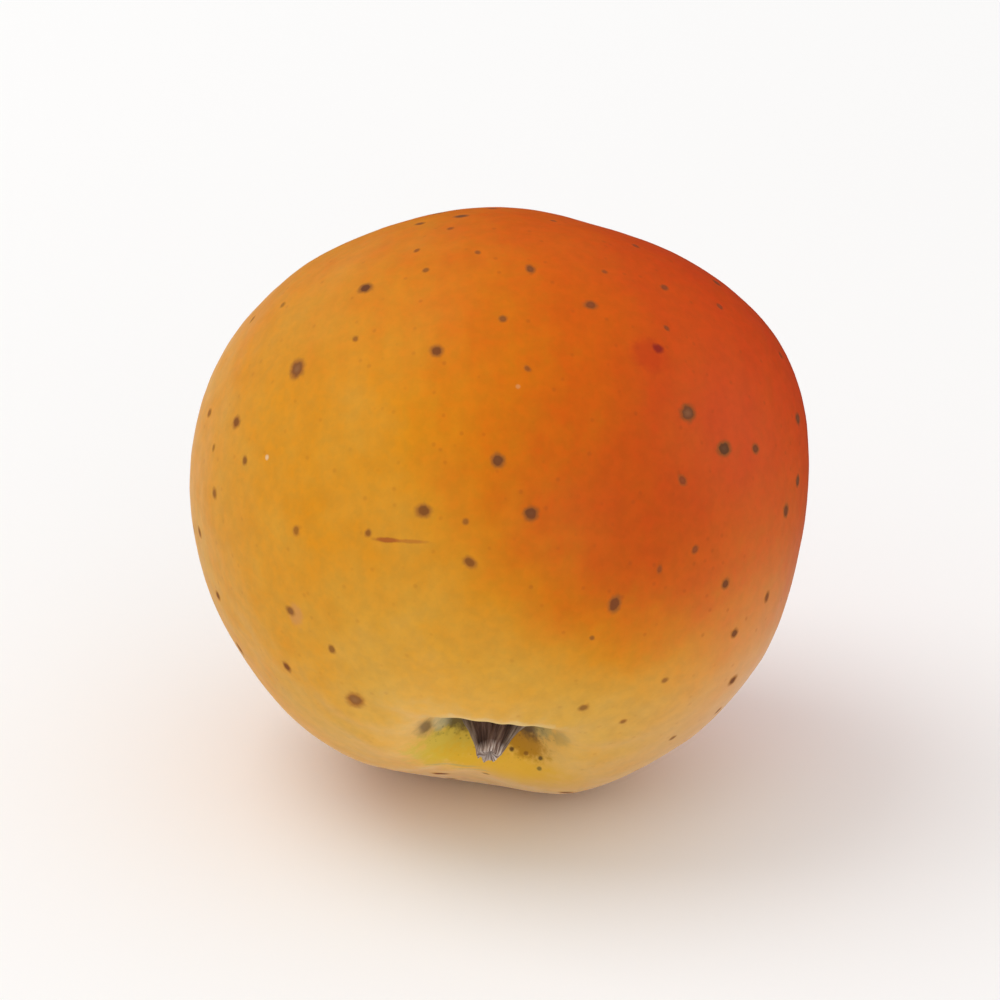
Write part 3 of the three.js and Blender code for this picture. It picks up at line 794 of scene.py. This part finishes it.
# ------------------------------------------------------------------------------------------------------------
# The style tuft: the dried styles and stamens of the flower, thin blackened threads that stand bent and
# tangled in the middle of the sepals, among fine pale hairs that grew on the floor of the basin.
# ------------------------------------------------------------------------------------------------------------
THREAD_COUNT = 26
THREAD_ROWS = 16
THREAD_COLUMNS = 8
THREAD_RADIUS = 0.09
THREAD_THINNING = 0.5
KNOB_SIZE = 0.5
KNOB_AT = 0.93
KNOB_LENGTH = 0.08
SHORTEST_SHARE = 0.55
TUFT_HEIGHT = 2.8
TUFT_FOOT_RADIUS = 1.1
THREAD_SPREAD = 0.35
THREAD_BEND = 0.22
HAIR_COUNT = 900
HAIR_ROWS = 5
HAIR_COLUMNS = 3
HAIR_RADIUS = 0.015
HAIR_LENGTH = 1.1
HAIR_FOOT_RADIUS = 3.3
HAIR_INNER_RADIUS = 0.6
HAIR_SPREAD = 0.9
HAIR_BEND = 0.3
HAIR_FINENESS = (0, 1, 0.9, 0.6, 0)
FOOT_SINK = 0.1
ASKEW = (0.31, 0.87, -0.38)


def tubes(paths, radii, columns):
    """Closed tubes along paths, an array of bodies and rows of points, with a radius for each row. A ring is
    path + radius * (cos * side - sin * over), where side and over stand square to the way and to each other.
    The side is worked out from a direction that no thread follows."""
    way = np.gradient(paths, axis=1)
    way /= np.linalg.norm(way, axis=-1, keepdims=True)
    side = np.cross(way, np.array(ASKEW))
    side /= np.linalg.norm(side, axis=-1, keepdims=True)
    over = np.cross(way, side)
    turn = np.radians(np.linspace(0, 360, columns, endpoint=False))[:, None]
    ring = side[:, :, None] * np.cos(turn) - over[:, :, None] * np.sin(turn)
    return paths[:, :, None] + ring * radii[..., None, None]


def standing(count, rows, foot_radius, inner_radius, length, spread, bend, seed):
    """Paths of threads that stand on the basin's floor: straight out of it, leaning outwards by the spread,
    and bent by a random amount that grows as the square of the way along."""
    chance = np.random.default_rng(seed)
    azimuth = chance.uniform(0, 2 * np.pi, count)
    foot = np.sqrt(chance.uniform((inner_radius / foot_radius) ** 2, 1, count)) * foot_radius
    plan = np.stack([np.cos(azimuth), np.sin(azimuth)], -1)
    x, y = (plan * foot[:, None]).T
    dome = SEPAL_END_HEIGHT * np.sqrt(1 - (foot / BELLY_RADIUS) ** 2)
    start = np.stack([x, y, dome - basin_depth(x, y) - FOOT_SINK], -1)
    lean = plan * (spread * foot / foot_radius)[:, None] + chance.normal(0, spread / 3, (count, 2))
    way = np.concatenate([lean, np.ones((count, 1))], -1)
    way /= np.linalg.norm(way, axis=1)[:, None]
    curve = chance.normal(0, bend, (count, 3))
    lengths = length * chance.uniform(SHORTEST_SHARE, 1, (count, 1, 1))
    along = np.linspace(0, 1, rows)[None, :, None]
    return start[:, None] + lengths * (way[:, None] * along + curve[:, None] * along**2)


along_thread = np.linspace(0, 1, THREAD_ROWS)
threads = standing(
    THREAD_COUNT, THREAD_ROWS, TUFT_FOOT_RADIUS, 0.0, TUFT_HEIGHT, THREAD_SPREAD, THREAD_BEND, 41)
knob = KNOB_SIZE * near(along_thread, KNOB_AT, KNOB_LENGTH)
taper = THREAD_RADIUS * (1 - THREAD_THINNING * along_thread + knob)
taper[[0, -1]] = 0
thread_radii = np.broadcast_to(taper, threads.shape[:2])
tuft = closed_mesh("style_threads", lie(tubes(threads, thread_radii, THREAD_COLUMNS)))
along_threads = np.broadcast_to(along_thread[None, :, None], (*threads.shape[:2], THREAD_COLUMNS))
store(tuft.data, "along", in_order(along_threads))

# Withered threads: nearly black, faintly brown where they are thick, with dull knobs for the anthers.
withered = new_material("withered_style")
along_here = add(withered, "Attribute", out="Fac", attribute_name="along")
thread_place = add(withered, "TexCoord", out="Object")
blotches = add(withered, "TexNoise", {"Vector": thread_place, "Scale": per(0.35), "Detail": 3.0})
age = add(withered, "Math", {0: along_here, 1: -0.35, 2: blotches}, operation="MULTIPLY_ADD")
thread_colour = add(withered, "ValToRGB", {"Fac": age}, stops=(
    (0.1, "#24170E"), (0.4, "#472F1C"), (0.6, "#7E5E3C")))
creases = add(withered, "Bump", {"Height": blotches, "Strength": 0.6, "Distance": 0.05 * MM})
dullness = add(withered, "MapRange", {"Value": blotches, "To Min": 0.7, "To Max": 0.95})
surface = add(withered, "BsdfPrincipled", {
    "Base Color": thread_colour, "Normal": creases, "Roughness": dullness, "Specular IOR Level": 0.2})
add(withered, "OutputMaterial", {"Surface": surface})
tuft.data.materials.append(withered)

hairs = standing(
    HAIR_COUNT, HAIR_ROWS, HAIR_FOOT_RADIUS, HAIR_INNER_RADIUS, HAIR_LENGTH, HAIR_SPREAD, HAIR_BEND, 42)
hair_radii = np.broadcast_to(HAIR_RADIUS * np.array(HAIR_FINENESS), hairs.shape[:2])
down = closed_mesh("basin_down", lie(tubes(hairs, hair_radii, HAIR_COLUMNS)))

# Down: fine dry plant hairs, pale grey-green in the mass.
fluff = new_material("plant_down")
down_place = add(fluff, "TexCoord", out="Object")
tangle = add(fluff, "TexNoise", {"Vector": down_place, "Scale": per(0.8), "Detail": 2.0})
down_colour = add(fluff, "ValToRGB", {"Fac": tangle}, stops=((0.35, "#8A8468"), (0.6, "#C4BF9E")))
softness = add(fluff, "MapRange", {"Value": tangle, "To Min": 0.7, "To Max": 0.9})
nap = add(fluff, "Bump", {"Height": tangle, "Strength": 0.2, "Distance": 0.02 * MM})
surface = add(fluff, "BsdfPrincipled", {"Base Color": down_colour, "Roughness": softness, "Normal": nap})
add(fluff, "OutputMaterial", {"Surface": surface})
down.data.materials.append(fluff)

for piece in (tuft, down):
    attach(piece, "root")
    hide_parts("style_tuft")

# ------------------------------------------------------------------------------------------------------------
# The studio: a sheet of white card under a white tent, with a soft lamp above and to the left and another low
# in front, and a long lens that looks down on the fruit by 25 degrees.
# ------------------------------------------------------------------------------------------------------------
CAMERA_ELEVATION = 25
CAMERA_DISTANCE = 450
CAMERA_LENS = 280
NEAREST_SEEN = 10
AIM_SIDEWAYS = 0.5
AIM_DROP = 0.3
CARD_SIZE = 6000
TENT_LIGHT = 0.78

# The camera sees the card turn to pure white between these two distances from the fruit, past its shadow.
CARD_NEAR = 90
CARD_FAR = 260

# On one side the card and the tent are dark, but only to what mirrors them, as if more ripe fruit lay there:
# the way to that side, where the dark begins and is full on each, and how much of the white it takes.
DARK_SIDE = (0.86, 0.51, 0.0)
CARD_DARK_FROM = 20
CARD_DARK_TO = 44
CARD_DARKNESS = 0.96
TENT_DARK_FROM = 0.2
TENT_DARK_TO = 0.4
TENT_DARKNESS = 0.76

aim = Vector((AIM_SIDEWAYS, 0, LIFT - AIM_DROP)) * MM
elevation = np.radians(CAMERA_ELEVATION)
back = Vector((0, -np.cos(elevation), np.sin(elevation)))
camera_data = bpy.data.cameras.new("camera")
camera_data.lens = CAMERA_LENS
camera_data.clip_start = NEAREST_SEEN * MM
camera = bpy.data.objects.new("camera", camera_data)
camera.location = aim + back * CAMERA_DISTANCE * MM
camera.rotation_euler = back.to_track_quat("Z", "Y").to_euler()
bpy.context.scene.collection.objects.link(camera)
bpy.context.scene.camera = camera
bpy.context.scene.view_settings.view_transform = "Standard"

card_mesh = bpy.data.meshes.new("white_card")
corners = np.array([(-1, -1, 0), (1, -1, 0), (1, 1, 0), (-1, 1, 0)]) * CARD_SIZE / 2 * MM
card_mesh.from_pydata(corners.tolist(), [], [(0, 1, 2, 3)])
card = bpy.data.objects.new("white_card", card_mesh)
bpy.context.scene.collection.objects.link(card)
board = new_material("white_card")
card_place = add(board, "TexCoord", out="Object")
fibres = add(board, "TexNoise", {"Vector": card_place, "Scale": per(0.6), "Detail": 2.0})
tooth = add(board, "Bump", {"Height": fibres, "Strength": 0.05, "Distance": 0.02 * MM})
paper = add(board, "BsdfPrincipled", {
    "Base Color": linear("#FAF9F8"), "Roughness": 0.95, "Normal": tooth, "Specular IOR Level": 0.0})
from_fruit = add(board, "VectorMath", {0: card_place}, out="Value", operation="LENGTH")
far_off = add(board, "MapRange", {"Value": from_fruit, "From Min": CARD_NEAR * MM, "From Max": CARD_FAR * MM})
seen = add(board, "LightPath", out="Is Camera Ray")
seen_far = add(board, "Math", {0: seen, 1: far_off}, operation="MULTIPLY")
# What mirrors the card sees it as a white glow without its shadow, a painted reflection, which is dimmed only
# on the dark side.
mirrored = add(board, "LightPath", out="Is Glossy Ray")
shown_white = add(board, "Math", {0: seen_far, 1: mirrored}, operation="MAXIMUM")
to_dark = add(board, "VectorMath", {0: card_place, 1: DARK_SIDE}, out="Value", operation="DOT_PRODUCT")
card_dark = add(board, "MapRange", {
    "Value": to_dark, "From Min": CARD_DARK_FROM * MM, "From Max": CARD_DARK_TO * MM,
    "To Max": CARD_DARKNESS})
dark_in_mirrors = add(board, "Math", {0: card_dark, 1: mirrored}, operation="MULTIPLY")
glow_strength = add(board, "Math", {0: 1.0, 1: dark_in_mirrors}, operation="SUBTRACT")
glow = add(board, "Emission", {"Color": (1, 1, 1, 1), "Strength": glow_strength})
surface = add(board, "MixShader", {0: shown_white, 1: paper, 2: glow})
add(board, "OutputMaterial", {"Surface": surface})
card_mesh.materials.append(board)

world = bpy.data.worlds.new("white_tent")
bpy.context.scene.world = world
world.use_nodes = True
world.node_tree.nodes.clear()
tent_seen = add(world, "LightPath", out="Is Camera Ray")
tent_mirrored = add(world, "LightPath", out="Is Glossy Ray")
sky_way = add(world, "TexCoord", out="Generated")
sky_to_dark = add(world, "VectorMath", {0: sky_way, 1: DARK_SIDE}, out="Value", operation="DOT_PRODUCT")
tent_dark = add(world, "MapRange", {
    "Value": sky_to_dark, "From Min": TENT_DARK_FROM, "From Max": TENT_DARK_TO, "To Max": TENT_DARKNESS})
dimming = add(world, "Math", {0: tent_mirrored, 1: tent_dark}, operation="MULTIPLY")
strength = add(world, "Math", {0: TENT_LIGHT, 1: dimming}, operation="SUBTRACT")
tent = add(world, "Background", {"Color": (1, 1, 1, 1), "Strength": strength})
white = add(world, "Background", {"Color": (1, 1, 1, 1), "Strength": 1.0})
sky = add(world, "MixShader", {0: tent_seen, 1: tent, 2: white})
add(world, "OutputWorld", {"Surface": sky})

# Each lamp's place in metres from the point that the camera looks at, and its power in watts
LAMP_SIZE = 0.35
LAMPS = (
    ("key", (-0.25, 0.05, 0.42), 0.75),
    ("low_fill", (0.2, -0.45, 0.04), 0.56),
)
for name, offset, energy in LAMPS:
    lamp_data = bpy.data.lights.new(name, "AREA")
    lamp_data.size = LAMP_SIZE
    lamp_data.energy = energy
    lamp = bpy.data.objects.new(name, lamp_data)
    lamp.location = aim + Vector(offset)
    lamp.rotation_euler = Vector(offset).to_track_quat("Z", "Y").to_euler()
    bpy.context.scene.collection.objects.link(lamp)
